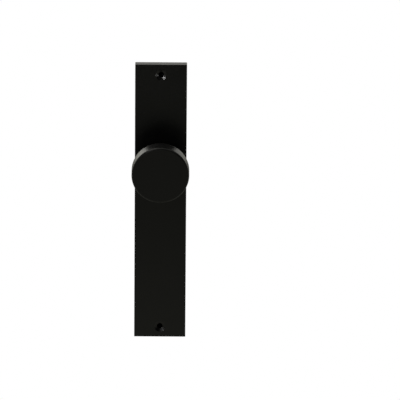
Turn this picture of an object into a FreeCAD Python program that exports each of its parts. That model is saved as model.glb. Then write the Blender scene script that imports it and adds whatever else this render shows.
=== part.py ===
"""Door knob on a long rectangular plate: a disc knob that turns a square spindle and springs back.

Frame, in millimetres: the origin is where the spindle's axis meets the door face. +X is to the
right as seen from the room, +Z is up, and the room side is -Y, so the knob stands out along -Y
and the spindle runs into the door along +Y.

Two bodies: the plate with its bush, spring carrier, springs, cover and screws stays on the door.
The knob with its neck, driver, spindle and retaining ring turns about the Y axis.
"""

import FreeCAD, Part
import math
import os

from FreeCAD import Vector

# ---------------------------------------------------------------- driving dimensions
PLATE_WIDTH = 45.0
PLATE_HEIGHT = 250.0
PLATE_THICK = 7.5
PLATE_ABOVE_AXIS = 88.0          # from the spindle's axis up to the plate's top edge
PLATE_CORNER = 0.5               # radius of the four corners, seen from the front
PLATE_EDGE = 0.25                # radius of the front edges
FRONT_WALL = 2.2                 # metal left in front of the hollow back
SIDE_WALL = 2.5

SCREW_FROM_END = 9.5             # fixing hole to the plate's end
SCREW_HOLE_R = 2.5
SCREW_SINK_R = 4.9               # countersink's radius at the front face
SCREW_SINK_SLOPE_DEG = 30.0      # its cone's slope from the front face
SCREW_BOSS_R = 7.6               # runs into the plate's end wall

KNOB_R = 25.0
KNOB_THICK = 15.0
KNOB_FACE = 48.0                 # from the door face to the knob's front face
KNOB_FRONT_EDGE = 1.6
KNOB_BACK_EDGE = 0.6

NECK_R = 10.0
TAIL_R = 8.0                     # the neck's rear part, which carries the driver
TAIL_FLAT = 7.0                  # half the distance across the tail's two flats
TAIL_END = 4.0                   # how far the tail reaches past the door face

SPINDLE_SIDE = 8.0
SPINDLE_REACH = 62.0             # spindle's end, from the door face
SOCKET_GAP = 0.05                # clearance round the spindle, on each side
SOCKET_BOTTOM = -20.0

TURN_DEG = 45.0                  # the knob turns this far each way
RUN_GAP = 0.05                   # clearance between parts that slide on each other

# ---------------------------------------------------------------- places along Y, front to back
FACE_Y = -PLATE_THICK
FLOOR_Y = FACE_Y + FRONT_WALL    # floor of the hollow back
KNOB_FRONT_Y = -KNOB_FACE
KNOB_BACK_Y = KNOB_FRONT_Y + KNOB_THICK
COVER_THICK = 1.0
COVER_BACK_Y = -0.1
COVER_FRONT_Y = COVER_BACK_Y - COVER_THICK
DRIVER_THICK = 2.0
DRIVER_BACK_Y = COVER_FRONT_Y - 0.1
DRIVER_FRONT_Y = DRIVER_BACK_Y - DRIVER_THICK
CARRIER_BACK_Y = DRIVER_FRONT_Y - RUN_GAP
WASHER_THICK = 0.8
WASHER_BACK_Y = COVER_BACK_Y + WASHER_THICK
RING_THICK = 1.0
RING_FRONT_Y = 1.6
RING_BACK_Y = RING_FRONT_Y + RING_THICK

PLATE_TOP_Z = PLATE_ABOVE_AXIS
PLATE_BOTTOM_Z = PLATE_ABOVE_AXIS - PLATE_HEIGHT
SCREW_Z = (PLATE_TOP_Z - SCREW_FROM_END, PLATE_BOTTOM_Z + SCREW_FROM_END)

# ---------------------------------------------------------------- the spring mechanism
POCKET_HALF_X = PLATE_WIDTH / 2 - SIDE_WALL
POCKET_HALF_Z = 23.5
POCKET_CORNER = 2.0
PAD_R = 3.6                      # corner pads that take the cover's screws
PAD_X = POCKET_HALF_X - PAD_R
PAD_Z = POCKET_HALF_Z - PAD_R
PADS = [(x, z) for x in (-PAD_X, PAD_X) for z in (-PAD_Z, PAD_Z)]

CARRIER_R = 19.7
CARRIER_TAB_HALF_X = 10.0
CARRIER_TAB_HALF_Z = 23.2
BUSH_R = 11.3
BUSH_FLANGE_R = 12.0
BUSH_FLANGE_THICK = 0.8
LUG_HALF_X = 1.8                 # the fixed stops, which stand in the driver's notches
LUG_IN_Z = 18.1
LUG_OUT_Z = 22.4

DRIVER_R = 19.2
NOTCH_R = 17.9
STOP_GAP_DEG = 0.4               # play left between driver and stop at the end of the turn

SPRING_PITCH_R = 15.3            # the springs lie along arcs of this radius
SPRING_COIL_R = 1.65
SPRING_WIRE_R = 0.3
SPRING_TURNS = 13
WINDOW_HALF_WIDTH = 2.1
WINDOW_HALF_DEG = 41.0

# ---------------------------------------------------------------- small fasteners
COVER_SCREW_R = 1.5
COVER_SCREW_HEAD_R = 2.8
COVER_SCREW_LENGTH = 5.0
GRUB_R = 3.0
GRUB_Y = -15.0
GRUB_LENGTH = 5.0
STUD_R = 4.0
STUD_LENGTH = 16.0
NECK_SUNK = 2.0                  # how deep the neck's front end sits in the knob's back
NECK_FRONT_Y = KNOB_BACK_Y - NECK_SUNK
PIN_R = 1.5
PIN_LENGTH = 8.0
PIN_Z = 7.0

AXIS_Y = Vector(0, 1, 0)


# ---------------------------------------------------------------- shapes used by several parts
def rod(radius, y0, y1, x=0.0, z=0.0):
    """A cylinder along Y, from y0 to y1."""
    return Part.makeCylinder(radius, y1 - y0, Vector(x, y0, z), AXIS_Y)


def taper(radius0, radius1, y0, y1, x=0.0, z=0.0):
    """A cone along Y: radius0 at y0 and radius1 at y1."""
    return Part.makeCone(radius0, radius1, y1 - y0, Vector(x, y0, z), AXIS_Y)


def block(x0, x1, y0, y1, z0, z1):
    return Part.makeBox(x1 - x0, y1 - y0, z1 - z0, Vector(x0, y0, z0))


def edges_along(shape, direction):
    """The straight edges that run parallel to direction."""
    straight = [e for e in shape.Edges if isinstance(e.Curve, Part.Line)]
    return [e for e in straight if abs(e.tangentAt(e.FirstParameter).dot(direction)) > 0.999]


def rounded_block(x0, x1, y0, y1, z0, z1, radius):
    """A block whose four edges along Y are rounded."""
    shape = block(x0, x1, y0, y1, z0, z1)
    return shape.makeFillet(radius, edges_along(shape, AXIS_Y))


def at_angle(radius, degrees, y):
    a = math.radians(degrees)
    return Vector(radius * math.cos(a), y, radius * math.sin(a))


def arc_slot(r_in, r_out, mid_deg, half_deg, y0, y1):
    """A piece of a ring about the Y axis, between two radii and two angles."""
    low, high = mid_deg - half_deg, mid_deg + half_deg
    outer = Part.Arc(at_angle(r_out, low, y0), at_angle(r_out, mid_deg, y0), at_angle(r_out, high, y0))
    inner = Part.Arc(at_angle(r_in, high, y0), at_angle(r_in, mid_deg, y0), at_angle(r_in, low, y0))
    end_high = Part.LineSegment(at_angle(r_out, high, y0), at_angle(r_in, high, y0))
    end_low = Part.LineSegment(at_angle(r_in, low, y0), at_angle(r_out, low, y0))
    wire = Part.Wire([outer.toShape(), end_high.toShape(), inner.toShape(), end_low.toShape()])
    return Part.Face(wire).extrude(Vector(0, y1 - y0, 0))


def hexagon(across_flats, depth, origin, direction):
    """A hexagonal prism, for a socket that takes a hex key."""
    reach = across_flats / math.sqrt(3)
    angles = [math.radians(60 * i) for i in range(6)]
    corners = [Vector(reach * math.cos(a), reach * math.sin(a), 0) for a in angles]
    prism = Part.Face(Part.makePolygon(corners + corners[:1])).extrude(Vector(0, 0, depth))
    prism.Placement = FreeCAD.Placement(origin, FreeCAD.Rotation(Vector(0, 0, 1), direction))
    return prism


def flatted_rod(radius, half_flat, y0, y1):
    """A rod along Y with two parallel flats, above and below."""
    return rod(radius, y0, y1).common(block(-radius - 1, radius + 1, y0, y1, -half_flat, half_flat))


# ---------------------------------------------------------------- the plate and what is fixed to it
def lightening_cells():
    """The cast hollows in the plate's back, in two columns, with ribs left between them."""
    rib = 2.0
    row_wanted = 20.0
    corner = 2.0
    clear_of_pocket = POCKET_HALF_Z + 2.5
    clear_of_boss = SCREW_FROM_END + SCREW_BOSS_R + 1.0
    zones = [(clear_of_pocket, PLATE_TOP_Z - clear_of_boss),
             (PLATE_BOTTOM_Z + clear_of_boss, -clear_of_pocket)]
    columns = [(-POCKET_HALF_X, -rib / 2), (rib / 2, POCKET_HALF_X)]
    cells = []
    for low, high in zones:
        rows = round((high - low + rib) / row_wanted)
        row = (high - low + rib) / rows
        for i in range(rows):
            for x0, x1 in columns:
                z0 = low + i * row
                cells.append(rounded_block(x0, x1, FLOOR_Y, 1, z0, z0 + row - rib, corner))
    beside_boss = SCREW_BOSS_R + rib
    for z in SCREW_Z:
        end = SCREW_FROM_END - SIDE_WALL
        for x0, x1 in ((-POCKET_HALF_X, -beside_boss), (beside_boss, POCKET_HALF_X)):
            cells.append(rounded_block(x0, x1, FLOOR_Y, 1, z - end, z + end, corner))
    return cells


def corner_pad(x, z, y0, y1):
    """One of the four pads in the mechanism's pocket that take the cover's screws."""
    sx, sz = math.copysign(1, x), math.copysign(1, z)
    over = 1.0                   # runs into the plate's wall, so that pad and wall are one
    xs = sorted((x - sx * PAD_R, x + sx * (PAD_R + over)))
    zs = sorted((z - sz * PAD_R, z + sz * (PAD_R + over)))
    pad = block(xs[0], xs[1], y0, y1, zs[0], zs[1])
    inner = [e for e in edges_along(pad, AXIS_Y)
             if abs(e.CenterOfMass.x) < abs(x) and abs(e.CenterOfMass.z) < abs(z)]
    return pad.makeFillet(PAD_R * 0.8, inner)


def make_face_plate():
    half = PLATE_WIDTH / 2
    plate = rounded_block(-half, half, FACE_Y, 0, PLATE_BOTTOM_Z, PLATE_TOP_Z, PLATE_CORNER)
    front = [e for e in plate.Edges if abs(e.CenterOfMass.y - FACE_Y) < 1e-6]
    plate = plate.makeFillet(PLATE_EDGE, front)

    # The ribs stop short of the door face: only the rim and the screw bosses bear on the door.
    rib_drop = 0.6
    shallow = rounded_block(-POCKET_HALF_X, POCKET_HALF_X, -rib_drop, 1,
                            PLATE_BOTTOM_Z + SIDE_WALL, PLATE_TOP_Z - SIDE_WALL, POCKET_CORNER)
    for z in SCREW_Z:
        shallow = shallow.cut(rod(SCREW_BOSS_R, -2 * rib_drop, 2, z=z))
    plate = plate.cut(shallow)
    plate = plate.cut(Part.makeCompound(lightening_cells()))

    pocket = rounded_block(-POCKET_HALF_X, POCKET_HALF_X, FLOOR_Y, 1,
                           -POCKET_HALF_Z, POCKET_HALF_Z, POCKET_CORNER)
    for x, z in PADS:
        pocket = pocket.cut(corner_pad(x, z, FLOOR_Y - 1, COVER_FRONT_Y))
    plate = plate.cut(pocket)

    tap_bottom = COVER_BACK_Y - COVER_SCREW_LENGTH - 0.5
    tap_mouth = 0.35
    for x, z in PADS:
        plate = plate.cut(rod(COVER_SCREW_R, tap_bottom, 0, x, z))
        plate = plate.cut(taper(COVER_SCREW_R, COVER_SCREW_R + tap_mouth,
                                COVER_FRONT_Y - tap_mouth, COVER_FRONT_Y, x, z))
    sink_depth = (SCREW_SINK_R - SCREW_HOLE_R) * math.tan(math.radians(SCREW_SINK_SLOPE_DEG))
    for z in SCREW_Z:
        plate = plate.cut(rod(SCREW_HOLE_R, FACE_Y - 1, 1, z=z))
        plate = plate.cut(taper(SCREW_SINK_R, SCREW_HOLE_R, FACE_Y, FACE_Y + sink_depth, z=z))
    return plate.cut(rod(BUSH_R, FACE_Y - 1, 1)).removeSplitter()


def make_bearing_bush():
    """Acetal bush, pressed into the plate from behind, that the neck turns in."""
    bush = rod(BUSH_R, FACE_Y + 0.1, FLOOR_Y + BUSH_FLANGE_THICK)
    bush = bush.fuse(rod(BUSH_FLANGE_R, FLOOR_Y, FLOOR_Y + BUSH_FLANGE_THICK)).removeSplitter()
    bore = rod(NECK_R + RUN_GAP, FACE_Y, 0)
    lead_in = taper(NECK_R + 0.45, NECK_R + RUN_GAP, FACE_Y + 0.1, FACE_Y + 0.5)
    return bush.cut(bore).cut(lead_in)


def make_spring_carrier():
    """Moulded tray that holds the front half of each spring and the two fixed stops."""
    carrier = rod(CARRIER_R, FLOOR_Y, CARRIER_BACK_Y)
    tabs = block(-CARRIER_TAB_HALF_X, CARRIER_TAB_HALF_X, FLOOR_Y, CARRIER_BACK_Y,
                 -CARRIER_TAB_HALF_Z, CARRIER_TAB_HALF_Z)
    carrier = carrier.fuse(tabs)
    for side in (-1, 1):
        zs = sorted((side * LUG_IN_Z, side * LUG_OUT_Z))
        carrier = carrier.fuse(block(-LUG_HALF_X, LUG_HALF_X, FLOOR_Y, DRIVER_BACK_Y, zs[0], zs[1]))
    carrier = carrier.cut(rod(BUSH_FLANGE_R + 0.1, FLOOR_Y - 1, 0))
    for mid in (0, 180):
        carrier = carrier.cut(spring_window(mid, FLOOR_Y - 1, 0))
    return carrier.removeSplitter()


def spring_window(mid_deg, y0, y1):
    return arc_slot(SPRING_PITCH_R - WINDOW_HALF_WIDTH, SPRING_PITCH_R + WINDOW_HALF_WIDTH,
                    mid_deg, WINDOW_HALF_DEG, y0, y1)


def make_return_spring(mid_deg):
    """Compression spring wound along an arc, with one close turn at each end."""
    per_turn = 14
    wire_diameter_deg = math.degrees(2 * SPRING_WIRE_R / SPRING_PITCH_R)
    span = 2 * (WINDOW_HALF_DEG - 0.6) - wire_diameter_deg
    open_pitch = (span - 2 * wire_diameter_deg) / (SPRING_TURNS - 2)
    steps = SPRING_TURNS * per_turn
    points = []
    for i in range(steps + 1):
        turn = i / per_turn
        closed = min(turn, 1) + max(turn - (SPRING_TURNS - 1), 0)
        along = closed * wire_diameter_deg * 1.05 + (turn - closed) * open_pitch
        radius = SPRING_PITCH_R + SPRING_COIL_R * math.cos(2 * math.pi * turn)
        y = CARRIER_BACK_Y + SPRING_COIL_R * math.sin(2 * math.pi * turn)
        points.append(at_angle(radius, mid_deg - span / 2 + along, y))
    curve = Part.BSplineCurve()
    curve.interpolate(points)
    path = Part.Wire(curve.toShape())
    start = curve.value(curve.FirstParameter)
    direction = curve.tangent(curve.FirstParameter)[0]
    section = Part.Wire(Part.makeCircle(SPRING_WIRE_R, start, direction))
    return path.makePipeShell([section], True, True)


def make_cover_plate():
    """Pressed steel lid that closes the spring pocket and takes the pull of the knob."""
    half_x, half_z = POCKET_HALF_X - 0.3, POCKET_HALF_Z - 0.3
    cover = rounded_block(-half_x, half_x, COVER_FRONT_Y, COVER_BACK_Y, -half_z, half_z, POCKET_CORNER)
    cover = cover.cut(rod(TAIL_R + 0.5, -3, 1))
    for x, z in PADS:
        cover = cover.cut(taper(COVER_SCREW_HEAD_R - COVER_THICK + 0.05, COVER_SCREW_HEAD_R + 0.05,
                                COVER_FRONT_Y, COVER_BACK_Y, x, z))
    return cover


def make_cover_screw(x, z):
    """M3 countersunk screw with a cross recess."""
    head_depth = COVER_SCREW_HEAD_R - COVER_SCREW_R
    tip = COVER_BACK_Y - COVER_SCREW_LENGTH
    shank_r = COVER_SCREW_R - 0.05
    screw = rod(shank_r, tip + 0.4, COVER_BACK_Y - 0.5, x, z)
    screw = screw.fuse(taper(shank_r - 0.4, shank_r, tip, tip + 0.4, x, z))
    screw = screw.fuse(taper(shank_r, COVER_SCREW_HEAD_R - 0.05,
                             COVER_BACK_Y - head_depth, COVER_BACK_Y, x, z))
    wing, wing_width, depth = 1.5, 0.55, 1.0
    across = block(x - wing, x + wing, COVER_BACK_Y - depth, 1, z - wing_width / 2, z + wing_width / 2)
    upright = block(x - wing_width / 2, x + wing_width / 2, COVER_BACK_Y - depth, 1, z - wing, z + wing)
    core = taper(0.5, 0.9, COVER_BACK_Y - depth - 0.3, COVER_BACK_Y + 0.1, x, z)
    return screw.cut(across).cut(upright).cut(core).removeSplitter()


def make_thrust_washer():
    return rod(12.5, COVER_BACK_Y, WASHER_BACK_Y).cut(rod(TAIL_R + 0.2, -3, 3))


# ---------------------------------------------------------------- the knob and what turns with it
def make_knob_disc():
    """Turned disc, blind bored at the back for the neck, the stud and the pin."""
    disc = rod(KNOB_R, KNOB_FRONT_Y, KNOB_BACK_Y)
    front = [e for e in disc.Edges if e.Closed and abs(e.CenterOfMass.y - KNOB_FRONT_Y) < 1e-6]
    disc = disc.makeFillet(KNOB_FRONT_EDGE, front)
    back = [e for e in disc.Edges if e.Closed and abs(e.CenterOfMass.y - KNOB_BACK_Y) < 1e-6]
    disc = disc.makeFillet(KNOB_BACK_EDGE, back)
    disc = disc.cut(rod(NECK_R, NECK_FRONT_Y, 0))
    disc = disc.cut(rod(STUD_R, NECK_FRONT_Y - STUD_LENGTH / 2 - 0.6, 0))
    return disc.cut(rod(PIN_R, NECK_FRONT_Y - PIN_LENGTH / 2 - 0.3, 0, z=PIN_Z))


def make_knob_neck():
    """Turned neck: plain in the bush, flatted behind it, with a square socket for the spindle."""
    shoulder_y = CARRIER_BACK_Y
    neck = rod(NECK_R, NECK_FRONT_Y, shoulder_y)
    neck = neck.makeChamfer(0.3, [e for e in neck.Edges if e.Closed])
    tail = flatted_rod(TAIL_R, TAIL_FLAT, shoulder_y - 1, TAIL_END)
    tail_nose = taper(TAIL_R + 0.1, TAIL_R - 0.6, TAIL_END - 0.7, TAIL_END)
    tail = tail.common(rod(TAIL_R, shoulder_y - 1, TAIL_END - 0.7).fuse(tail_nose))
    neck = neck.fuse(tail)

    groove = rod(TAIL_R + 2, RING_FRONT_Y, RING_BACK_Y + 0.1).cut(rod(TAIL_R - 0.4, -3, 5))
    neck = neck.cut(groove)

    half = SPINDLE_SIDE / 2 + SOCKET_GAP
    neck = neck.cut(block(-half, half, SOCKET_BOTTOM, TAIL_END + 1, -half, half))
    neck = neck.cut(taper(0.5, half, SOCKET_BOTTOM - 2, SOCKET_BOTTOM))
    neck = neck.cut(Part.makeCylinder(GRUB_R, NECK_R + 1, Vector(0, GRUB_Y, 0), Vector(0, 0, -1)))
    neck = neck.cut(rod(STUD_R, NECK_FRONT_Y - 1, NECK_FRONT_Y + STUD_LENGTH / 2 + 0.6))
    return neck.cut(rod(PIN_R, NECK_FRONT_Y - 1, NECK_FRONT_Y + PIN_LENGTH / 2 + 0.3, z=PIN_Z))


def make_joining_stud():
    """M8 set screw, half in the knob and half in the neck."""
    chamfer = 0.7
    low, high = NECK_FRONT_Y - STUD_LENGTH / 2, NECK_FRONT_Y + STUD_LENGTH / 2
    stud = rod(STUD_R, low + chamfer, high - chamfer)
    stud = stud.fuse(taper(STUD_R - chamfer, STUD_R, low, low + chamfer))
    stud = stud.fuse(taper(STUD_R, STUD_R - chamfer, high - chamfer, high))
    return stud.cut(hexagon(4.0, 5.0, Vector(0, high, 0), Vector(0, -1, 0))).removeSplitter()


def make_anti_turn_pin():
    """Dowel that stops the knob unscrewing from its neck."""
    low, high = NECK_FRONT_Y - PIN_LENGTH / 2, NECK_FRONT_Y + PIN_LENGTH / 2
    pin = rod(PIN_R, low, high, z=PIN_Z)
    return pin.makeChamfer(0.3, [e for e in pin.Edges if e.Closed])


def make_grub_screw():
    """M6 set screw that clamps the spindle, let in from below the neck."""
    tip = -SPINDLE_SIDE / 2
    down = Vector(0, 0, -1)
    chamfer = 0.6
    screw = Part.makeCylinder(GRUB_R, GRUB_LENGTH - 2 * chamfer, Vector(0, GRUB_Y, tip - chamfer), down)
    screw = screw.fuse(Part.makeCone(GRUB_R - chamfer, GRUB_R, chamfer, Vector(0, GRUB_Y, tip), down))
    outer = tip - GRUB_LENGTH
    screw = screw.fuse(Part.makeCone(GRUB_R - chamfer, GRUB_R, chamfer, Vector(0, GRUB_Y, outer),
                                     Vector(0, 0, 1)))
    return screw.cut(hexagon(3.0, 3.0, Vector(0, GRUB_Y, outer), Vector(0, 0, 1))).removeSplitter()


def make_square_spindle():
    half = SPINDLE_SIDE / 2
    low = SOCKET_BOTTOM + 0.5
    bar = block(-half, half, low, SPINDLE_REACH, -half, half)
    ends = [e for e in bar.Edges if abs(e.CenterOfMass.y - SPINDLE_REACH) < 1e-6]
    return bar.makeChamfer(0.5, edges_along(bar, AXIS_Y) + ends)


def make_driver_plate():
    """Steel cam keyed to the neck's flats: it drives the springs and strikes the stops."""
    driver = rod(DRIVER_R, DRIVER_FRONT_Y, DRIVER_BACK_Y)
    driver = driver.cut(flatted_rod(TAIL_R + RUN_GAP, TAIL_FLAT + RUN_GAP, -10, 5))
    for mid in (0, 180):
        driver = driver.cut(spring_window(mid, -10, 0))
    lug_half_deg = math.degrees(math.asin(LUG_HALF_X / LUG_IN_Z))
    for mid in (90, 270):
        notch_half = TURN_DEG + lug_half_deg + STOP_GAP_DEG
        driver = driver.cut(arc_slot(NOTCH_R, DRIVER_R + 2, mid, notch_half, -10, 0))
    return driver


def make_wave_washer():
    """Spring-steel ring with three waves that takes up the knob's end play."""
    r_in, r_out, thick, rise, waves = TAIL_R + 0.25, 12.0, 0.35, 0.2, 3
    middle_y = (WASHER_BACK_Y + RING_FRONT_Y - thick) / 2
    steps = 12 * waves

    def wavy_ring(radius):
        points = []
        for i in range(steps):
            degrees = 360 * i / steps
            y = middle_y + rise * math.sin(math.radians(waves * degrees))
            points.append(at_angle(radius, degrees, y))
        curve = Part.BSplineCurve()
        curve.interpolate(points, PeriodicFlag=True)
        return curve.toShape()

    sheet = Part.makeRuledSurface(wavy_ring(r_in), wavy_ring(r_out))
    return sheet.extrude(Vector(0, thick, 0))


def make_retaining_ring():
    """External retaining ring in the tail's groove, with its two plier holes below."""
    gap_half_deg = 12
    lug_deg = 22
    lug_centre_r = 9.5
    y0, y1 = RING_FRONT_Y + 0.02, RING_BACK_Y
    ring = rod(9.9, y0, y1, z=0.35)
    for side in (-1, 1):
        centre = at_angle(lug_centre_r, 270 + side * lug_deg, 0)
        ring = ring.fuse(rod(1.75, y0, y1, centre.x, centre.z))
    ring = ring.cut(rod(TAIL_R - 0.38, 0, 5))
    ring = ring.cut(arc_slot(1, 14, 270, gap_half_deg, 0, 5))
    for side in (-1, 1):
        centre = at_angle(lug_centre_r, 270 + side * lug_deg, 0)
        ring = ring.cut(rod(0.85, 0, 5, centre.x, centre.z))
    return ring.removeSplitter()


def make_parts():
    parts = {
        "face_plate": make_face_plate(),
        "bearing_bush": make_bearing_bush(),
        "spring_carrier": make_spring_carrier(),
        "return_spring_right": make_return_spring(0),
        "return_spring_left": make_return_spring(180),
        "cover_plate": make_cover_plate(),
        "thrust_washer": make_thrust_washer(),
        "knob_disc": make_knob_disc(),
        "knob_neck": make_knob_neck(),
        "joining_stud": make_joining_stud(),
        "anti_turn_pin": make_anti_turn_pin(),
        "grub_screw": make_grub_screw(),
        "square_spindle": make_square_spindle(),
        "driver_plate": make_driver_plate(),
        "wave_washer": make_wave_washer(),
        "retaining_ring": make_retaining_ring(),
    }
    for x, z in PADS:
        corner = ("top" if z > 0 else "bottom") + ("_right" if x > 0 else "_left")
        parts["cover_screw_" + corner] = make_cover_screw(x, z)
    return parts


def main():
    os.makedirs("parts", exist_ok=True)
    for name, shape in make_parts().items():
        if not shape.isValid() or len(shape.Solids) != 1:
            raise ValueError(f"{name}: valid {shape.isValid()}, {len(shape.Solids)} solids")
        shape.Solids[0].exportStep(f"parts/{name}.step")
        print(f"{name:26s} {shape.Volume / 1000:8.3f} cm3")


main()
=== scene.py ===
"""Disc door knob on a long plate, coated satin black, with its spring-return works and spindle.

Everything is in metres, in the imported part's own frame: the origin is where the spindle's axis
meets the door face, +X is to the right seen from the room, +Z is up and the room side is -Y.
"""

import math

import bpy
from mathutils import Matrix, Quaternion, Vector


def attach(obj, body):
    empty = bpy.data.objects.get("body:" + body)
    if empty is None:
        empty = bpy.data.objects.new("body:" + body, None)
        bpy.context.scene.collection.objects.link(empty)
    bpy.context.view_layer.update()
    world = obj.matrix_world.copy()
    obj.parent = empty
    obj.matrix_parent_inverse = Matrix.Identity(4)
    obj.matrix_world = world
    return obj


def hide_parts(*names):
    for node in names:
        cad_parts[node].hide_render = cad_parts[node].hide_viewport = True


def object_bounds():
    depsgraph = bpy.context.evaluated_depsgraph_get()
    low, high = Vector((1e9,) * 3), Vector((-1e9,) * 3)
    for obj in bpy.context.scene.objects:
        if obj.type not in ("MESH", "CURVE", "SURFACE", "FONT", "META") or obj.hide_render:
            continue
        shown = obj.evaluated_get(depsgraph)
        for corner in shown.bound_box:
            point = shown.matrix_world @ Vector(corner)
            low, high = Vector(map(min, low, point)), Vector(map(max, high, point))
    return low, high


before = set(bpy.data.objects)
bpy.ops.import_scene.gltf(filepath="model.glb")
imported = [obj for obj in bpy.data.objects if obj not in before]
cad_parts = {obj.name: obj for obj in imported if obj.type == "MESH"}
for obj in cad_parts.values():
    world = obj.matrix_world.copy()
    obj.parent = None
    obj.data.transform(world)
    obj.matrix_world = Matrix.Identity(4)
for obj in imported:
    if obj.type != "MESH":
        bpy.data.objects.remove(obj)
cad_low, cad_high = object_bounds()
MM = 0.001


# ==== Camera ====
# A long lens, far off, looks down on the plate and almost straight at it, so that the plate's long
# sides stay parallel. The camera is aimed beside the object, which stands left of the middle.
camera_turn = math.radians(0.245)
camera_rise = math.radians(17.87)
camera_roll = math.radians(0.44)
camera_distance = 5.0
aim_right, aim_down = 34.5 * MM, 35.8 * MM

toward_camera = Vector((math.sin(camera_turn) * math.cos(camera_rise),
                        -math.cos(camera_turn) * math.cos(camera_rise),
                        math.sin(camera_rise)))
right_of_view = Vector((math.cos(camera_turn), math.sin(camera_turn), 0))
up_of_view = toward_camera.cross(right_of_view)
eye = toward_camera * camera_distance
aim = right_of_view * aim_right - up_of_view * aim_down

camera_data = bpy.data.cameras.new("camera")
camera_data.lens = 515.8
camera_data.clip_end = 40
camera = bpy.data.objects.new("camera", camera_data)
bpy.context.scene.collection.objects.link(camera)
camera.location = eye
camera.rotation_mode = "QUATERNION"
camera.rotation_quaternion = (aim - eye).to_track_quat("-Z", "Y") @ Quaternion((0, 0, 1), camera_roll)
bpy.context.scene.camera = camera
bpy.context.scene.view_settings.view_transform = "Standard"


# ==== Studio ====
# A white cyclorama: the camera sees floor and wall blown out to plain white, as on a light table.
# The gloss sees a wall with a bright band low behind the object, a lamp overhead, and black flags.
def linear(hex_colour):
    """The linear colour of an sRGB hex value, with full alpha."""
    parts = [int(hex_colour[i:i + 2], 16) / 255 for i in (1, 3, 5)]
    return [c / 12.92 if c <= 0.04045 else ((c + 0.055) / 1.055) ** 2.4 for c in parts] + [1.0]


def add_node(tree, kind, settings=(), values=(), links=()):
    """A new node, with its settings, the values of its inputs, and what is linked into them."""
    made = tree.nodes.new(kind)
    for name, value in dict(settings).items():
        setattr(made, name, value)
    for socket, value in dict(values).items():
        made.inputs[socket].default_value = value
    for socket, source in dict(links).items():
        tree.links.new(source, made.inputs[socket])
    return made


world = bpy.data.worlds.new("cyclorama")
bpy.context.scene.world = world
world.use_nodes = True
sky = world.node_tree
sky.nodes.clear()
direction = add_node(sky, "ShaderNodeTexCoord").outputs["Generated"]
towards = add_node(sky, "ShaderNodeSeparateXYZ", links={0: direction})
wall_height = add_node(sky, "ShaderNodeMapRange", {}, {"From Min": -0.1, "From Max": 1.0},
                       {"Value": towards.outputs["Z"]}).outputs[0]
wall = add_node(sky, "ShaderNodeValToRGB", links={0: wall_height})
wall.color_ramp.elements[0].color = (0.55, 0.55, 0.55, 1)
wall.color_ramp.elements[1].color = (0.05, 0.05, 0.05, 1)
for height, level in ((0.0, 0.45), (0.06, 0.75), (0.18, 1.4), (0.3, 0.54), (0.6, 0.38), (0.72, 0.05)):
    wall.color_ramp.elements.new((height + 0.1) / 1.1).color = (level, level, level, 1)
wall_side = add_node(sky, "ShaderNodeMapRange", {},
                     {"From Min": -0.3, "From Max": 0.15, "To Min": 1.5, "To Max": 0.8},
                     {"Value": towards.outputs["X"]}).outputs[0]
lit_wall = add_node(sky, "ShaderNodeMath", {"operation": "MULTIPLY"}, {},
                    {0: wall.outputs[0], 1: wall_side})
behind = add_node(sky, "ShaderNodeMapRange", {"interpolation_type": "SMOOTHSTEP"},
                  {"From Min": -0.1, "From Max": 0.3}, {"Value": towards.outputs["Y"]}).outputs[0]
wall_level = add_node(sky, "ShaderNodeMapRange", {}, {"To Min": 0.02},
                      {"Value": behind, "To Max": lit_wall.outputs[0]}).outputs[0]
overhead = add_node(sky, "ShaderNodeMapRange", {"interpolation_type": "SMOOTHSTEP"},
                    {"From Min": 0.72, "From Max": 0.87, "To Max": 1.6},
                    {"Value": towards.outputs["Z"]}).outputs[0]
side_of_lamp = add_node(sky, "ShaderNodeMapRange", {}, {"From Min": -0.6, "From Max": 0.6},
                        {"Value": towards.outputs["X"]}).outputs[0]
lamp = add_node(sky, "ShaderNodeValToRGB", links={0: side_of_lamp})
lamp.color_ramp.elements[0].color = (1, 1, 1, 1)
lamp.color_ramp.elements[1].color = (0.3, 0.3, 0.3, 1)
for side, level in ((-0.4, 0.9), (-0.05, 0.2), (0.2, 0.15)):
    lamp.color_ramp.elements.new((side + 0.6) / 1.2).color = (level, level, level, 1)
sky_level = add_node(sky, "ShaderNodeMath", {"operation": "MULTIPLY_ADD"}, {},
                     {0: overhead, 1: lamp.outputs[0], 2: wall_level}).outputs[0]
seen = add_node(sky, "ShaderNodeLightPath").outputs["Is Camera Ray"]
gloss_sees = add_node(sky, "ShaderNodeBackground", values={"Color": linear("#FFFEF6")},
                      links={"Strength": sky_level})
camera_sees = add_node(sky, "ShaderNodeBackground", values={"Color": linear("#FFFFFF"), "Strength": 1.0})
either = add_node(sky, "ShaderNodeMixShader",
                  links={0: seen, 1: gloss_sees.outputs[0], 2: camera_sees.outputs[0]})
add_node(sky, "ShaderNodeOutputWorld", links={"Surface": either.outputs[0]})

floor_drop, floor_side = 8 * MM, 12
bpy.ops.object.select_all(action="DESELECT")
bpy.ops.mesh.primitive_plane_add(size=floor_side, location=(0, 0, cad_low.z - floor_drop))
floor = bpy.context.object
floor.name = "floor"
white_floor = bpy.data.materials.new("floor_glowing_white_painted_light")
white_floor.use_nodes = True
paint = white_floor.node_tree
paint.nodes.clear()
where = add_node(paint, "ShaderNodeTexCoord").outputs["Object"]
across = add_node(paint, "ShaderNodeSeparateXYZ", links={0: where})
# In front of the object the floor glows dim, dimmer further off: painted shade.
floor_front = add_node(paint, "ShaderNodeMapRange", {},
                       {"From Min": -0.8, "From Max": 0.0, "To Min": 0.115, "To Max": 0.24},
                       {"Value": across.outputs["Y"]}).outputs[0]
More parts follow.
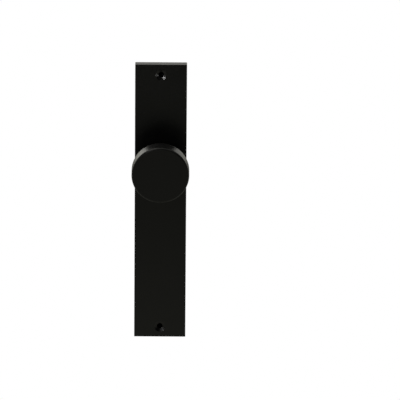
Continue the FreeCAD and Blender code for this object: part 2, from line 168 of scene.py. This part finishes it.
# The floor glows, and its glow is painted light and shade. Close behind the object it is dark in a
# strip, a painted shadow, and it glows on both sides of it. Further off all of it glows, more on the left.
aside = add_node(paint, "ShaderNodeMath", {"operation": "ABSOLUTE"}, {},
                 {0: across.outputs["X"]}).outputs[0]
past_strip = add_node(paint, "ShaderNodeMath", {"operation": "MULTIPLY_ADD"}, {1: -0.45},
                      {0: across.outputs["Y"], 2: aside}).outputs[0]
floor_near = add_node(paint, "ShaderNodeMapRange", {"interpolation_type": "SMOOTHSTEP"},
                      {"From Min": 0.0, "From Max": 0.3, "To Min": 0.1, "To Max": 0.8},
                      {"Value": past_strip}).outputs[0]
floor_far = add_node(paint, "ShaderNodeMapRange", {},
                     {"From Min": -0.6, "From Max": 0.6, "To Min": 0.85, "To Max": 0.7},
                     {"Value": across.outputs["X"]}).outputs[0]
floor_behind = add_node(paint, "ShaderNodeMapRange", {"interpolation_type": "SMOOTHSTEP"},
                        {"From Min": 0.6, "From Max": 1.6},
                        {"Value": across.outputs["Y"],
                         "To Min": floor_near, "To Max": floor_far}).outputs[0]
floor_level = add_node(paint, "ShaderNodeMapRange", {"interpolation_type": "SMOOTHSTEP"},
                       {"From Min": 0.0, "From Max": 0.1},
                       {"Value": across.outputs["Y"],
                        "To Min": floor_front, "To Max": floor_behind}).outputs[0]
seen = add_node(paint, "ShaderNodeLightPath").outputs["Is Camera Ray"]
# The gloss sees the floor's glow, which is painted light; the camera sees it plain white.
gloss_sees = add_node(paint, "ShaderNodeEmission", values={"Color": linear("#FFFFEE")},
                      links={"Strength": floor_level})
camera_sees = add_node(paint, "ShaderNodeEmission", values={"Color": linear("#FFFFFF"), "Strength": 1.0})
either = add_node(paint, "ShaderNodeMixShader",
                  links={0: seen, 1: gloss_sees.outputs[0], 2: camera_sees.outputs[0]})
# A camera below the floor sees the object through it.
underside = add_node(paint, "ShaderNodeNewGeometry").outputs["Backfacing"]
from_below = add_node(paint, "ShaderNodeMath", {"operation": "MULTIPLY"}, {},
                      {0: underside, 1: seen}).outputs[0]
clear = add_node(paint, "ShaderNodeBsdfTransparent").outputs[0]
either = add_node(paint, "ShaderNodeMixShader", links={0: from_below, 1: either.outputs[0], 2: clear})
add_node(paint, "ShaderNodeOutputMaterial", links={"Surface": either.outputs[0]})
floor.data.materials.append(white_floor)

# On a door the fixing holes are dark inside, in the plate's shadow. A black card behind each one is
# painted shade that stands in for the door there. It is clear from the back, so that it hides
# nothing of the plate's hollow side.
hole_shade_material = bpy.data.materials.new("painted_shade_card_behind_hole_black")
hole_shade_material.use_nodes = True
card = hole_shade_material.node_tree
card.nodes.clear()
from_back = add_node(card, "ShaderNodeNewGeometry").outputs["Backfacing"]
# The card's black front is painted shade.
black = add_node(card, "ShaderNodeEmission", values={"Strength": 0.0}).outputs[0]
clear = add_node(card, "ShaderNodeBsdfTransparent").outputs[0]
either = add_node(card, "ShaderNodeMixShader", links={0: from_back, 1: black, 2: clear})
add_node(card, "ShaderNodeOutputMaterial", links={"Surface": either.outputs[0]})
hole_from_end = 9.5 * MM
card_radius, card_gap = 3 * MM, 0.3 * MM
for name, height in (("painted_shade_card_top_hole", cad_high.z - hole_from_end),
                     ("painted_shade_card_bottom_hole", cad_low.z + hole_from_end)):
    bpy.ops.object.select_all(action="DESELECT")
    bpy.ops.mesh.primitive_circle_add(vertices=48, radius=card_radius, fill_type="NGON",
                                      location=(0, card_gap, height), rotation=(math.pi / 2, 0, 0))
    card_object = bpy.context.object
    card_object.name = name
    card_object.data.materials.append(hole_shade_material)

# Softboxes before the object: the key high on the left, and three small gridded ones aimed at the
# holes. Behind it stands a strip that lights only the hollow back. Each line gives a name, a place,
# the point aimed at, the sides, the radiance and the spread in degrees.
top_hole, bottom_hole = (0, 0, 0.078), (0, 0, -0.152)
softboxes = (("key_softbox", (-0.26, -0.66, 0.26), (0, 0, -0.15), (0.2, 0.2), 1.4, 180),
             ("top_accent_left", (-0.288, -0.3, 0.245), top_hole, (0.06, 0.06), 0.5, 12),
             ("top_accent_right", (0.377, -0.235, 0.006), top_hole, (0.06, 0.06), 0.06, 12),
             ("bottom_accent", (-0.29, -0.304, 0.005), bottom_hole, (0.06, 0.06), 0.055, 12),
             ("back_strip", (0, 0.16, -0.037), (0, 0, -0.037), (0.04, 0.24), 0.9, 180))
for name, place, aimed_at, sides, radiance, spread in softboxes:
    light = bpy.data.lights.new(name, "AREA")
    light.shape = "RECTANGLE"
    light.size, light.size_y = sides
    light.energy = radiance * math.pi * sides[0] * sides[1]
    light.spread = math.radians(spread)
    softbox = bpy.data.objects.new(name, light)
    bpy.context.scene.collection.objects.link(softbox)
    softbox.location = place
    softbox.rotation_mode = "QUATERNION"
    softbox.rotation_quaternion = (Vector(place) - Vector(aimed_at)).to_track_quat("Z", "Y")
    softbox.visible_camera = False


# ==== Face plate ====
# Zinc die casting, hollow behind, with a countersunk hole at each end. Powder coated satin black;
# the spray hardly reaches the corners of the hollow back, where the casting shows through grey.
def new_material(name):
    """A material of one Principled shader, with the object's own coordinates to lay patterns by."""
    material = bpy.data.materials.new(name)
    material.use_nodes = True
    tree = material.node_tree
    place = add_node(tree, "ShaderNodeTexCoord").outputs["Object"]
    return material, tree, tree.nodes["Principled BSDF"], place


def lay_on(tree, shader, colour, roughness, normal):
    """Gives the shader a pattern's colour, roughness and normal."""
    for socket, source in (("Base Color", colour), ("Roughness", roughness), ("Normal", normal)):
        tree.links.new(source, shader.inputs[socket])


def powder_coat(name, dark="#040404", light="#080808", smooth=0.28, rough=0.33):
    """Satin black polyester powder coat: an orange peel, a fine grain and soft clouds of gloss.

    The grain is drawn several times as coarse as a real one, so that it shows from close by.
    """
    material, tree, shader, place = new_material(name)
    peel_size, grain_size, cloud_size = 1.1 * MM, 0.25 * MM, 11 * MM
    peel = add_node(tree, "ShaderNodeTexNoise", {}, {"Scale": 1 / peel_size, "Detail": 1.0},
                    {"Vector": place})
    grain = add_node(tree, "ShaderNodeTexNoise", {}, {"Scale": 1 / grain_size, "Detail": 2.0},
                     {"Vector": place})
    clouds = add_node(tree, "ShaderNodeTexNoise", {}, {"Scale": 1 / cloud_size, "Detail": 3.0},
                      {"Vector": place})
    shade = add_node(tree, "ShaderNodeMix", {"data_type": "RGBA"},
                     {6: linear(dark), 7: linear(light)}, {0: grain.outputs[0]}).outputs[2]
    gloss = add_node(tree, "ShaderNodeMapRange", {},
                     {"From Min": 0.35, "From Max": 0.65, "To Min": smooth, "To Max": rough},
                     {"Value": clouds.outputs[0]}).outputs[0]
    fine = add_node(tree, "ShaderNodeBump", {}, {"Strength": 1.0, "Distance": 0.004 * MM},
                    {"Height": grain.outputs[0]}).outputs[0]
    skin = add_node(tree, "ShaderNodeBump", {}, {"Strength": 1.0, "Distance": 0.03 * MM},
                    {"Height": peel.outputs[0], "Normal": fine}).outputs[0]
    lay_on(tree, shader, shade, gloss, skin)
    return material, tree, shader, place


def show_bare(tree, shader, mask, colour, roughness):
    """Where the mask is 1, bare metal of that colour and roughness shows instead of the coat."""
    under = add_node(tree, "ShaderNodeMix", {"data_type": "RGBA"}, {7: linear(colour)},
                     {0: mask, 6: shader.inputs["Base Color"].links[0].from_socket}).outputs[2]
    rough = add_node(tree, "ShaderNodeMapRange", {}, {"To Max": roughness},
                     {"Value": mask, "To Min": shader.inputs["Roughness"].links[0].from_socket}).outputs[0]
    for socket, source in (("Base Color", under), ("Roughness", rough), ("Metallic", mask)):
        tree.links.new(source, shader.inputs[socket])


def finish(material, *nodes):
    """Puts the material in every slot of those CAD nodes."""
    for node in nodes:
        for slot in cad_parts[node].material_slots:
            slot.material = material


# The eye gets a deep satin black whose highlights break up slightly over the orange peel.
plate_coat, tree, shader, place = powder_coat("polyester_powder_coat_satin_black_on_casting")
# Inside the hollow back the coat thins out in specks towards the floor of the hollow.
hollow_half_x, hollow_half_z, hollow_floor_y = 21 * MM, 123.5 * MM, -5.6 * MM
well_sprayed_y, thinly_sprayed_y = -1.5 * MM, -5.0 * MM
spray_size = 0.6 * MM
plate_middle = (cad_high.z + cad_low.z) / 2
at = add_node(tree, "ShaderNodeSeparateXYZ", links={0: place})
beside = add_node(tree, "ShaderNodeMath", {"operation": "COMPARE"}, {1: 0.0, 2: hollow_half_x},
                  {0: at.outputs["X"]})
along = add_node(tree, "ShaderNodeMath", {"operation": "COMPARE"}, {1: plate_middle, 2: hollow_half_z},
                 {0: at.outputs["Z"]})
behind = add_node(tree, "ShaderNodeMath", {"operation": "GREATER_THAN"}, {1: hollow_floor_y},
                  {0: at.outputs["Y"]})
inside = add_node(tree, "ShaderNodeMath", {"operation": "MULTIPLY"}, {},
                  {0: beside.outputs[0], 1: along.outputs[0]}).outputs[0]
inside = add_node(tree, "ShaderNodeMath", {"operation": "MULTIPLY"}, {},
                  {0: inside, 1: behind.outputs[0]}).outputs[0]
spray = add_node(tree, "ShaderNodeTexNoise", {},
                 {"Scale": 1 / spray_size, "Detail": 5.0, "Roughness": 0.7}, {"Vector": place}).outputs[0]
deep = add_node(tree, "ShaderNodeMapRange", {},
                {"From Min": well_sprayed_y, "From Max": thinly_sprayed_y,
                 "To Min": -0.12, "To Max": 0.04}, {"Value": at.outputs["Y"]}).outputs[0]
thin = add_node(tree, "ShaderNodeMath", {"operation": "ADD"}, {}, {0: spray, 1: deep}).outputs[0]
missed = add_node(tree, "ShaderNodeMapRange", {"interpolation_type": "SMOOTHSTEP"},
                  {"From Min": 0.44, "From Max": 0.72, "To Max": 0.5}, {"Value": thin}).outputs[0]
uncoated = add_node(tree, "ShaderNodeMath", {"operation": "MULTIPLY"}, {},
                    {0: inside, 1: missed}).outputs[0]
show_bare(tree, shader, uncoated, "#77797A", 0.55)
finish(plate_coat, "face_plate")


# ==== Bearing bush ====
# Turned from natural white acetal. Pressed into the plate, it carries the knob's neck.
# The eye gets a milky, waxy white with faint turning rings across the axis.
acetal, tree, shader, place = new_material("acetal_natural_turned")
bush_feed, milk_size = 0.12 * MM, 5 * MM
# Turning rings hardly change across the axis: their pattern repeats only this often in a metre.
ring_wander = 60
ringed = add_node(tree, "ShaderNodeMapping", {}, {"Scale": (ring_wander, 1 / bush_feed, ring_wander)},
                  {"Vector": place}).outputs[0]
rings = add_node(tree, "ShaderNodeTexNoise", {}, {"Scale": 1.0, "Detail": 2.0},
                 {"Vector": ringed}).outputs[0]
milk = add_node(tree, "ShaderNodeTexNoise", {}, {"Scale": 1 / milk_size, "Detail": 2.0},
                {"Vector": place}).outputs[0]
shade = add_node(tree, "ShaderNodeMix", {"data_type": "RGBA"},
                 {6: linear("#DAD5C6"), 7: linear("#E8E5DA")}, {0: milk}).outputs[2]
gloss = add_node(tree, "ShaderNodeMapRange", {}, {"To Min": 0.36, "To Max": 0.52},
                 {"Value": rings}).outputs[0]
tooling = add_node(tree, "ShaderNodeBump", {}, {"Strength": 1.0, "Distance": 0.004 * MM},
                   {"Height": rings}).outputs[0]
lay_on(tree, shader, shade, gloss, tooling)
shader.inputs["Subsurface Weight"].default_value = 0.2
shader.inputs["Subsurface Radius"].default_value = (0.9, 0.8, 0.6)
shader.inputs["Subsurface Scale"].default_value = 0.6 * MM
finish(acetal, "bearing_bush")


# ==== Spring carrier ====
# Moulded tray of black glass-filled nylon, dropped into the plate's pocket under the cover.
# The eye gets a dull charcoal with paler fibre flecks that lie along the flow. They are drawn several
# times as coarse as real fibres, so that they show.
nylon, tree, shader, place = new_material("nylon_glass_filled_black_moulded")
fleck_thick, fleck_long = 0.16 * MM, 1.4 * MM
flow_angle = math.radians(24)
turned = add_node(tree, "ShaderNodeMapping", {},
                  {"Rotation": (0, flow_angle, 0),
                   "Scale": (1 / fleck_thick, 1 / fleck_thick, 1 / fleck_long)},
                  {"Vector": place}).outputs[0]
fibres = add_node(tree, "ShaderNodeTexNoise", {}, {"Scale": 1.0, "Detail": 1.0},
                  {"Vector": turned}).outputs[0]
flecks = add_node(tree, "ShaderNodeMapRange", {}, {"From Min": 0.6, "From Max": 0.72},
                  {"Value": fibres}).outputs[0]
shade = add_node(tree, "ShaderNodeMix", {"data_type": "RGBA"},
                 {6: linear("#141516"), 7: linear("#34363A")}, {0: flecks}).outputs[2]
gloss = add_node(tree, "ShaderNodeMapRange", {}, {"To Min": 0.62, "To Max": 0.42},
                 {"Value": flecks}).outputs[0]
moulding = add_node(tree, "ShaderNodeBump", {}, {"Strength": 1.0, "Distance": 0.008 * MM},
                    {"Height": fibres}).outputs[0]
lay_on(tree, shader, shade, gloss, moulding)
finish(nylon, "spring_carrier")


# ==== Return springs ====
# Two compression springs of oil-tempered wire, bent along arcs on both sides of the bush.
def lined_metal(name, light, dark, cloud_mm, smooth, rough, line_mm, line_deep_mm):
    """Bare or plated metal: clouds of two shades, and tool lines line_mm wide along X, Y and Z.

    The lines are a few times as coarse as real ones, so that they show from close by.
    """
    material, tree, shader, place = new_material(name)
    clouds = add_node(tree, "ShaderNodeTexNoise", {}, {"Scale": 1 / (cloud_mm * MM), "Detail": 4.0},
                      {"Vector": place}).outputs[0]
    drawn = add_node(tree, "ShaderNodeMapping", {}, {"Scale": [1 / (size * MM) for size in line_mm]},
                     {"Vector": place}).outputs[0]
    lines = add_node(tree, "ShaderNodeTexNoise", {}, {"Scale": 1.0, "Detail": 3.0},
                     {"Vector": drawn}).outputs[0]
    patches = add_node(tree, "ShaderNodeMapRange", {}, {"From Min": 0.35, "From Max": 0.65},
                       {"Value": clouds}).outputs[0]
    shade = add_node(tree, "ShaderNodeMix", {"data_type": "RGBA"}, {6: linear(dark), 7: linear(light)},
                     {0: patches}).outputs[2]
    gloss = add_node(tree, "ShaderNodeMapRange", {},
                     {"From Min": 0.3, "From Max": 0.7, "To Min": smooth, "To Max": rough},
                     {"Value": lines}).outputs[0]
    scored = add_node(tree, "ShaderNodeBump", {}, {"Strength": 1.0, "Distance": line_deep_mm * MM},
                      {"Height": lines}).outputs[0]
    lay_on(tree, shader, shade, gloss, scored)
    shader.inputs["Metallic"].default_value = 1.0
    return material, tree, shader, place


# The eye gets grey-brown wire with dark patches of temper oil and a broken shine.
spring_wire = lined_metal("spring_steel_oil_tempered_wire", "#8B8780", "#4A443C", 1.6, 0.28, 0.45,
                          (0.1, 0.1, 0.1), 0.002)[0]
finish(spring_wire, "return_spring_right", "return_spring_left")


# ==== Cover plate ====
# Pressed from rolled steel strip and zinc plated. It closes the pocket and takes the knob's pull.
# The eye gets bright silver with rolling lines up its length and a blue and straw passivation tint.
def tint_zinc(tree, shader, place, across_mm):
    """Lays the rainbow film of passivated zinc over the metal's own colour, in slow bands."""
    drift = add_node(tree, "ShaderNodeTexNoise", {}, {"Scale": 1 / (across_mm * MM), "Distortion": 1.2},
                     {"Vector": place}).outputs[0]
    film = add_node(tree, "ShaderNodeValToRGB", links={0: drift})
    film.color_ramp.elements[0].color = linear("#B7C4D6")
    film.color_ramp.elements[1].color = linear("#DAD2BC")
    film.color_ramp.elements.new(0.5).color = linear("#C8CCD0")
    tinted = add_node(tree, "ShaderNodeMix", {"data_type": "RGBA", "blend_type": "MULTIPLY"}, {0: 0.55},
                      {6: shader.inputs["Base Color"].links[0].from_socket, 7: film.outputs[0]}).outputs[2]
    tree.links.new(tinted, shader.inputs["Base Color"])


zinc_strip, tree, shader, place = lined_metal("zinc_plate_bright_on_rolled_strip", "#DADCDE",
                                              "#B9BCC0", 3.5, 0.24, 0.36, (0.09, 0.09, 9.0), 0.0015)
tint_zinc(tree, shader, place, 12)
finish(zinc_strip, "cover_plate")


# ==== Cover screws ====
# Four M3 countersunk screws with a cross recess, rolled thread, zinc plated. They hold the cover
# down on the plate's corner pads.
def alone(piece):
    """Makes the piece the only selected and the active object."""
    bpy.ops.object.select_all(action="DESELECT")
    piece.select_set(True)
    bpy.context.view_layer.objects.active = piece


def pick(piece, test):
    """Goes to edit mode with just the vertices selected whose place passes the test."""
    bpy.ops.object.mode_set(mode="EDIT")
    bpy.ops.mesh.select_mode(type="VERT")
    bpy.ops.mesh.select_all(action="DESELECT")
    bpy.ops.object.mode_set(mode="OBJECT")
    for vertex in piece.data.vertices:
        vertex.select = test(vertex.co)
    bpy.ops.object.mode_set(mode="EDIT")


def settle(piece, location=(0, 0, 0), rotation=(0, 0, 0)):
    """Moves the piece within its mesh, so that the object itself stays at the origin."""
    alone(piece)
    piece.location, piece.rotation_euler = location, rotation
    bpy.ops.object.transform_apply(location=True, rotation=True, scale=True)


def combine(piece, tool, operation):
    """Applies a Boolean of the piece with a tool body, and removes the tool."""
    alone(piece)
    bpy.ops.object.modifier_add(type="BOOLEAN")
    boolean = piece.modifiers[-1]
    boolean.operation, boolean.solver, boolean.object = operation, "EXACT", tool
    bpy.ops.object.modifier_apply(modifier=boolean.name)
    bpy.data.objects.remove(tool)


round_sides, thread_steps = 72, 40


def threaded_rod(name, radius, pitch, length, chamfer):
    """A rod up the Z axis from 0 to length, with a helical thread and chamfered ends.

    The thread is as deep as a metric one. Its crests start past the radius, and the chamfered
    blank that the rod is cut to trims them flat.
    """
    root, crest = radius - 0.61 * pitch, radius + 0.08 * pitch
    # The helix runs two turns past each end, and is cut off square there.
    low, turns = -2 * pitch, math.ceil(length / pitch) + 4
    bpy.ops.object.select_all(action="DESELECT")
    bpy.ops.mesh.primitive_plane_add(size=pitch, location=(root - pitch / 2, 0, low),
                                     rotation=(math.pi / 2, 0, 0))
    rod = bpy.context.object
    rod.name = rod.data.name = name
    bpy.ops.object.transform_apply(location=True, rotation=True, scale=True)
    pick(rod, lambda co: co.x < root - pitch / 2)
    bpy.ops.mesh.delete(type="VERT")
    bpy.ops.mesh.select_all(action="SELECT")
    bpy.ops.mesh.subdivide(number_cuts=1)
    pick(rod, lambda co: abs(co.z - low) < pitch / 10)
    bpy.ops.transform.translate(value=(crest - root, 0, 0))
    bpy.ops.object.mode_set(mode="OBJECT")
    bpy.ops.object.modifier_add(type="SCREW")
    helix = rod.modifiers[-1]
    helix.axis, helix.screw_offset, helix.iterations = "Z", pitch, turns
    helix.steps = helix.render_steps = thread_steps
    bpy.ops.object.modifier_apply(modifier=helix.name)
    pick(rod, lambda co: True)
    bpy.ops.mesh.remove_doubles(threshold=pitch / 500)
    for end, outward in ((-pitch / 3, -1), (length + pitch / 3, 1)):
        bpy.ops.mesh.bisect(plane_co=(0, 0, end), plane_no=(0, 0, outward), use_fill=True,
                            clear_outer=True)
        bpy.ops.mesh.select_all(action="SELECT")
    bpy.ops.mesh.normals_make_consistent(inside=False)
    bpy.ops.object.mode_set(mode="OBJECT")
    bpy.ops.object.select_all(action="DESELECT")
    bpy.ops.mesh.primitive_cylinder_add(vertices=round_sides, radius=radius, depth=length,
                                        location=(0, 0, length / 2))
    blank = bpy.context.object
    bpy.ops.object.modifier_add(type="BEVEL")
    corner = blank.modifiers[-1]
    corner.width, corner.segments, corner.limit_method = chamfer, 1, "ANGLE"
    bpy.ops.object.modifier_apply(modifier=corner.name)
    combine(rod, blank, "INTERSECT")
    return rod


def fit_in_place(piece, material, node, body):
    """Shades and coats a modelled piece, and puts it in the CAD node's place."""
    alone(piece)
    bpy.ops.object.shade_smooth_by_angle(angle=math.radians(25))
    piece.data.materials.clear()
    piece.data.materials.append(material)
    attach(piece, body)
    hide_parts(node)


# The eye gets small bright heads with a faint blue cast and crisp thread crests.
zinc_screw, tree, shader, place = lined_metal("zinc_plate_bright_on_rolled_screw", "#DADCDE",
                                              "#AEB2B8", 1.1, 0.2, 0.36, (0.25, 0.06, 0.25), 0.0012)
tint_zinc(tree, shader, place, 3)
head_radius, head_deep = 2.75 * MM, 1.3 * MM
shank_radius, shank_length = 1.45 * MM, 4.4 * MM
screw_length, screw_pitch, screw_chamfer = 5 * MM, 0.5 * MM, 0.35 * MM
screw_back = -0.1 * MM
screw = threaded_rod("cover_screw_model", shank_radius, screw_pitch, shank_length, screw_chamfer)
bpy.ops.object.select_all(action="DESELECT")
bpy.ops.mesh.primitive_cone_add(vertices=round_sides, radius1=shank_radius, radius2=head_radius,
                                depth=head_deep, location=(0, 0, screw_length - head_deep / 2))
combine(screw, bpy.context.object, "UNION")
# The cross recess is two thin wings that narrow downwards, and a round tapered middle.
wing_half_low, wing_half_high, wing_deep, wing_down = 0.9 * MM, 1.55 * MM, 1.2 * MM, 0.45 * MM
wing_thinness = 0.19
middle_low, middle_high, middle_deep, middle_down = 0.45 * MM, 0.95 * MM, 1.6 * MM, 0.55 * MM
for turn in (0, math.pi / 2):
    bpy.ops.object.select_all(action="DESELECT")
    bpy.ops.mesh.primitive_cone_add(vertices=4, radius1=wing_half_low * math.sqrt(2),
                                    radius2=wing_half_high * math.sqrt(2), depth=wing_deep,
                                    location=(0, 0, screw_length - wing_down),
                                    rotation=(0, 0, math.pi / 4))
    wing = bpy.context.object
    bpy.ops.object.transform_apply(location=True, rotation=True, scale=True)
    wing.scale = (1, wing_thinness, 1)
    settle(wing, rotation=(0, 0, turn))
    combine(screw, wing, "DIFFERENCE")
bpy.ops.object.select_all(action="DESELECT")
bpy.ops.mesh.primitive_cone_add(vertices=24, radius1=middle_low, radius2=middle_high, depth=middle_deep,
                                location=(0, 0, screw_length - middle_down))
combine(screw, bpy.context.object, "DIFFERENCE")
settle(screw, rotation=(-math.pi / 2, 0, 0))
settle(screw, location=(0, screw_back - screw_length, 0))
across, up = 16.4 * MM, 19.9 * MM
corners = (("top_left", -across, up), ("top_right", across, up),
           ("bottom_left", -across, -up), ("bottom_right", across, -up))
for corner, x, z in corners:
    alone(screw)
    bpy.ops.object.duplicate(linked=False)
    placed = bpy.context.object
    placed.name = placed.data.name = "cover_screw_" + corner + "_threaded"
    settle(placed, location=(x, 0, z))
    fit_in_place(placed, zinc_screw, "cover_screw_" + corner, "plate")
bpy.data.objects.remove(screw)


# ==== Thrust washer ====
# Stamped flat from rolled steel and zinc plated. It runs between the cover and the retaining ring.
# The eye gets the strip's silver, a little duller than the cover's, with its lines lying across.
zinc_washer, tree, shader, place = lined_metal("zinc_plate_bright_on_stamped_washer", "#D4D6D8",
                                               "#A9ADB2", 2.2, 0.22, 0.4, (5.0, 0.07, 0.07), 0.0015)
tint_zinc(tree, shader, place, 7)
finish(zinc_washer, "thrust_washer")


# ==== Knob disc ====
# Disc turned from bar, blind bored behind for the neck, stud and pin, then coated like the plate.
# The eye gets a satin black a trace softer than the plate's, unbroken over the front edge. Its colour
# is drawn paler than the same coat on the plate: painted light, for the light that the knob's face catches.
# The paler colours here are painted light on the knob's face.
knob_coat = powder_coat("polyester_powder_coat_satin_black_painted_paler",
                        "#101010", "#1A1A1A", 0.32, 0.37)[0]
finish(knob_coat, "knob_disc")


# ==== Knob neck ====
# Turned neck of the knob. The coat ends at the shoulder inside the plate: behind it the flatted
# tail that takes the driver, washers and ring is bare turned steel.
tail_from, fade = -5.4 * MM, 0.2 * MM
ragged_size, ragged_by = 1.5 * MM, 0.5 * MM
neck_feed = 0.1 * MM
# The eye gets satin black in front and, behind, grey steel with fine turning rings.
neck_coat, tree, shader, place = powder_coat("polyester_powder_coat_satin_black_ends_on_steel")
depth = add_node(tree, "ShaderNodeSeparateXYZ", links={0: place}).outputs["Y"]
edge = add_node(tree, "ShaderNodeTexNoise", {}, {"Scale": 1 / ragged_size}, {"Vector": place}).outputs[0]
ragged = add_node(tree, "ShaderNodeMath", {"operation": "MULTIPLY_ADD"}, {1: ragged_by},
                  {0: edge, 2: depth}).outputs[0]
bare = add_node(tree, "ShaderNodeMapRange", {"interpolation_type": "SMOOTHSTEP"},
                {"From Min": tail_from, "From Max": tail_from + fade}, {"Value": ragged}).outputs[0]
show_bare(tree, shader, bare, "#A3A4A3", 0.3)
ringed = add_node(tree, "ShaderNodeMapping", {}, {"Scale": (ring_wander, 1 / neck_feed, ring_wander)},
                  {"Vector": place}).outputs[0]
rings = add_node(tree, "ShaderNodeTexNoise", {}, {"Scale": 1.0, "Detail": 2.0},
                 {"Vector": ringed}).outputs[0]
ring_depth = add_node(tree, "ShaderNodeMath", {"operation": "MULTIPLY"}, {},
                      {0: bare, 1: rings}).outputs[0]
turned = add_node(tree, "ShaderNodeBump", {}, {"Strength": 1.0, "Distance": 0.004 * MM},
                  {"Height": ring_depth, "Normal": shader.inputs["Normal"].links[0].from_socket}).outputs[0]
tree.links.new(turned, shader.inputs["Normal"])
finish(neck_coat, "knob_neck")


# ==== Joining stud ====
# M8 set screw with a hexagon socket, half in the knob and half in the neck. Black oxide finish.
# The eye gets a near black steel with an oily brown and blue cast and crisp thread crests.
black_oxide = lined_metal("steel_black_oxide_oiled", "#33323A", "#1B1715", 1.3, 0.3, 0.5,
                          (0.12, 0.12, 0.12), 0.002)[0]


def socket_cut(piece, flats, deep, top):
    """Cuts a hexagon socket down into the piece's upper end.

    The round hole that it was broached from goes a little deeper.
    """
    past_end = 1 * MM
    hexagon = (6, flats / math.sqrt(3), deep)
    drilling = (24, flats / 2.3, deep * 1.15)
    for sides, radius, from_top in (hexagon, drilling):
        bpy.ops.object.select_all(action="DESELECT")
        bpy.ops.mesh.primitive_cylinder_add(vertices=sides, radius=radius, depth=from_top + past_end,
                                            location=(0, 0, top + (past_end - from_top) / 2))
        combine(piece, bpy.context.object, "DIFFERENCE")


stud_radius, stud_pitch, stud_length, stud_chamfer = 4 * MM, 1.25 * MM, 16 * MM, 0.7 * MM
stud_flats, stud_socket_deep = 4 * MM, 5 * MM
stud_middle = -35 * MM
stud = threaded_rod("joining_stud_threaded", stud_radius, stud_pitch, stud_length, stud_chamfer)
socket_cut(stud, stud_flats, stud_socket_deep, stud_length)
settle(stud, rotation=(-math.pi / 2, 0, 0))
settle(stud, location=(0, stud_middle - stud_length / 2, 0))
fit_in_place(stud, black_oxide, "joining_stud", "knob")


# ==== Anti-turn pin ====
# Ground dowel pin across the joint of knob and neck, beside the stud, so that they can't unscrew.
# The eye gets plain bright steel with hair-fine grinding rings.
ground_steel = lined_metal("steel_dowel_centreless_ground", "#C6C7C7", "#A5A6A8", 2.5, 0.14, 0.26,
                           (4.0, 0.03, 4.0), 0.0008)[0]
finish(ground_steel, "anti_turn_pin")


# ==== Grub screw ====
# M6 set screw with a hexagon socket and a cup point, screwed up from below the neck on the spindle.
# It has the stud's black oxide. The eye gets a dark dot with a six-sided hole.
grub_radius, grub_pitch, grub_length, grub_chamfer = 3 * MM, 1.0 * MM, 5 * MM, 0.6 * MM
grub_flats, grub_socket_deep = 3 * MM, 2.4 * MM
cup_mouth, cup_end, cup_deep, cup_middle = 1.9 * MM, 0.2 * MM, 1.7 * MM, 0.35 * MM
grub_tip, grub_y = -4 * MM, -15 * MM
grub = threaded_rod("grub_screw_threaded", grub_radius, grub_pitch, grub_length, grub_chamfer)
socket_cut(grub, grub_flats, grub_socket_deep, grub_length)
bpy.ops.object.select_all(action="DESELECT")
bpy.ops.mesh.primitive_cone_add(vertices=48, radius1=cup_mouth, radius2=cup_end, depth=cup_deep,
                                location=(0, 0, cup_middle))
combine(grub, bpy.context.object, "DIFFERENCE")
settle(grub, rotation=(math.pi, 0, 0))
settle(grub, location=(0, grub_y, grub_tip))
fit_in_place(grub, black_oxide, "grub_screw", "knob")


# ==== Square spindle ====
# 8 mm square bar, cold drawn and zinc plated. It turns the lock's follower behind the door face.
# The eye gets bright silver with drawing lines that run along the bar.
zinc_bar, tree, shader, place = lined_metal("zinc_plate_bright_on_drawn_bar", "#D6D8DA", "#B0B4B9", 3.0,
                                            0.2, 0.38, (0.08, 12.0, 0.08), 0.0025)
tint_zinc(tree, shader, place, 9)
finish(zinc_bar, "square_spindle")


# ==== Driver plate ====
# Stamped steel plate on the tail's flats, zinc plated. Its two slots push the ends of the springs.
# The eye gets the cover's bright silver with the strip's rolling lines lying across.
zinc_driver, tree, shader, place = lined_metal("zinc_plate_bright_on_stamped_driver", "#D0D2D5",
                                               "#A6AAB0", 2.8, 0.24, 0.4, (8.0, 0.08, 0.08), 0.0018)
tint_zinc(tree, shader, place, 10)
finish(zinc_driver, "driver_plate")


# ==== Wave washer ====
# Spring washer, waved so that it takes up the play under the ring. Hardened and blued.
# The eye gets a dark blue-grey steel that turns straw brown in patches.
blued_steel = lined_metal("spring_steel_wave_washer_blued", "#7C8290", "#6A5A46", 2.6, 0.24, 0.4,
                          (3.0, 0.08, 0.08), 0.0015)[0]
finish(blued_steel, "wave_washer")


# ==== Retaining ring ====
# Stamped circlip sprung into the tail's groove. Phosphated and oiled. The eye gets a dull, finely
# crystalline charcoal. The crystals are a few times as coarse as real ones, so that they show.
phosphate, tree, shader, place = lined_metal("spring_steel_ring_phosphated", "#4C4B48", "#2B2A28", 0.9,
                                             0.42, 0.62, (0.09, 0.09, 0.09), 0.003)
crystal_size = 0.07 * MM
crystals = add_node(tree, "ShaderNodeTexVoronoi", {}, {"Scale": 1 / crystal_size},
                    {"Vector": place}).outputs["Distance"]
under_crystals = shader.inputs["Normal"].links[0].from_socket
crystal_bump = add_node(tree, "ShaderNodeBump", {}, {"Strength": 1.0, "Distance": 0.004 * MM},
                        {"Height": crystals, "Normal": under_crystals}).outputs[0]
tree.links.new(crystal_bump, shader.inputs["Normal"])
finish(phosphate, "retaining_ring")
